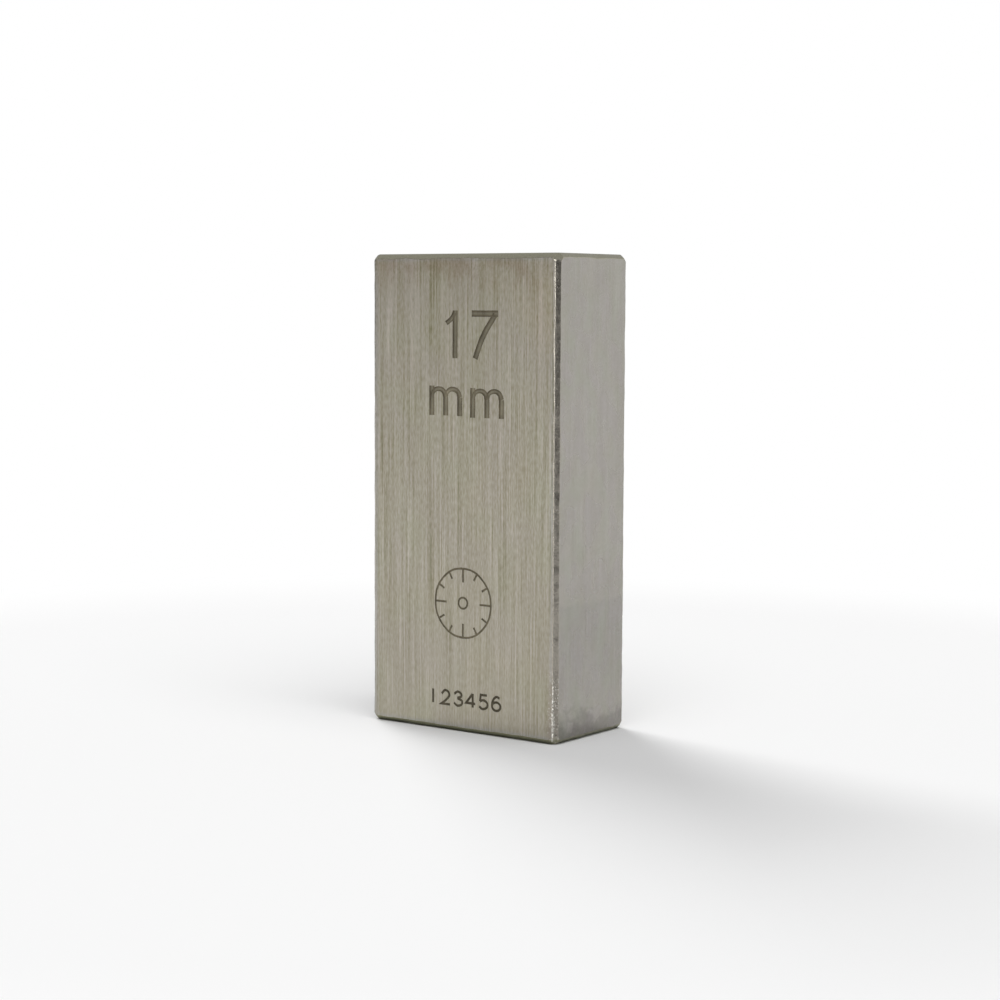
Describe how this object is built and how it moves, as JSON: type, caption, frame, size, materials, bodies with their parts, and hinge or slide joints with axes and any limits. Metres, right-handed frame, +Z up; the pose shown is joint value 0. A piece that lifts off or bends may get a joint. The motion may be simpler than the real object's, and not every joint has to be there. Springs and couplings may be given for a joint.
{
  "type": "gauge block",
  "caption": "Small rectangular steel gauge block with lapped parallel gauging faces, chamfered edges and broken corners, standing on one end.",
  "frame": {"origin": "middle of the bottom end face, with the block standing on that end", "axes": "+X from one gauging face to the other, +Y through the thin way of the section and away from the marked side, +Z up along the long side of the section"},
  "size_m": [0.017, 0.0088, 0.035],
  "materials": {
    "steel": "hardened steel: fine ground sides and ends with grain along Z, lapped hazy mirror on the two gauging faces"
  },
  "bodies": {
    "root": {"gauge_block": "steel"}
  },
  "joints": []
}
